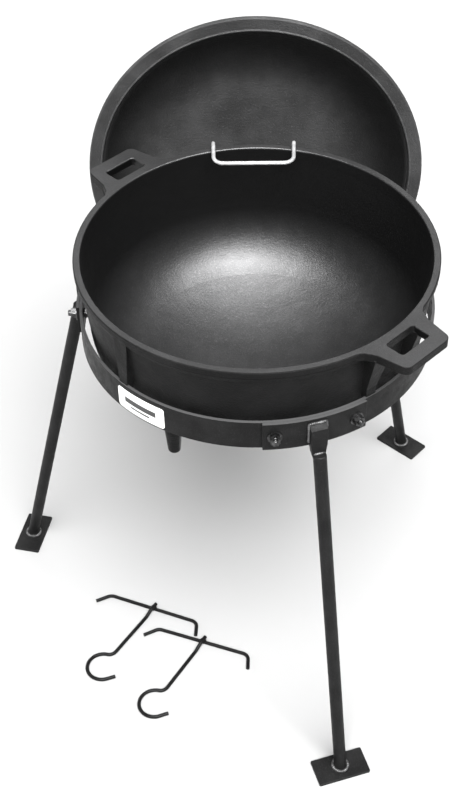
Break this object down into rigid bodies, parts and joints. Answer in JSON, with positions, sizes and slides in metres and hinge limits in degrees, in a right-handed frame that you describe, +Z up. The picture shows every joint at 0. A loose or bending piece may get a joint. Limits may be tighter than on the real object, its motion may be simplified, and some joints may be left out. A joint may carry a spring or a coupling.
{
  "type": "cast iron dutch oven",
  "caption": "Large round cast iron pot with loop handles in a bolted three-legged stand, its dished lid hung behind by a wire bail, and T-handled lifting hooks on the floor.",
  "frame": {"origin": "on the floor, on the pot's vertical axis", "axes": "+Z up, -Y towards the front of the pot where the label side of the stand faces, +Y towards the hung lid, +X to the right"},
  "size_m": [0.8188, 0.8425, 0.9796],
  "materials": {
    "seasoned_cast_iron": "pre-seasoned, fine sand-cast grain, satin black",
    "lid_cast_iron": "pre-seasoned, slightly coarser grain in the dish",
    "stand_black": "black high-heat paint, satin",
    "fastener_steel": "darkened zinc plate",
    "bail_wire": "bright plated wire",
    "hook_black": "gloss black paint",
    "label_white": "white sticker without lettering"
  },
  "bodies": {
    "stand": {"stand_ring": "stand_black", "ring_label": "label_white", "leg_strap_front": "stand_black", "leg_bar_front": "stand_black", "foot_plate_front": "stand_black", "strap_bolts_front": "fastener_steel", "strap_washers_front": "fastener_steel", "strap_nuts_front": "fastener_steel", "leg_strap_back": "stand_black", "leg_bar_back": "stand_black", "foot_plate_back": "stand_black", "strap_bolts_back": "fastener_steel", "strap_washers_back": "fastener_steel", "strap_nuts_back": "fastener_steel", "leg_strap_left": "stand_black", "leg_bar_left": "stand_black", "foot_plate_left": "stand_black", "strap_bolts_left": "fastener_steel", "strap_washers_left": "fastener_steel", "strap_nuts_left": "fastener_steel"},
    "pot": {"pot_casting": "seasoned_cast_iron"},
    "lid": {"lid_casting": "lid_cast_iron"},
    "bail": {"lid_bail": "bail_wire"},
    "hook_a": {"hook_a_grip": "hook_black", "hook_a_shank": "hook_black"},
    "hook_b": {"hook_b_grip": "hook_black", "hook_b_shank": "hook_black"}
  },
  "joints": [
    {"name": "pot_lift", "type": "slide", "parent": "stand", "child": "pot", "axis": [0, 0, 1], "range_m": [0, 0.3]},
    {"name": "lid_lift", "type": "slide", "parent": "pot", "child": "lid", "axis": [0, 0.0819, 0.9966], "range_m": [0, 0.35]},
    {"name": "bail_swing", "type": "hinge", "parent": "lid", "child": "bail", "pos_m": [-0.003, 0.31696, 0.69494], "axis": [-1, 0, 0], "range_deg": [0, 25]},
    {"name": "hook_a_lift", "type": "slide", "parent": "stand", "child": "hook_a", "axis": [0, 0, 1], "range_m": [0, 0.3]},
    {"name": "hook_b_lift", "type": "slide", "parent": "stand", "child": "hook_b", "axis": [0, 0, 1], "range_m": [0, 0.3]}
  ]
}
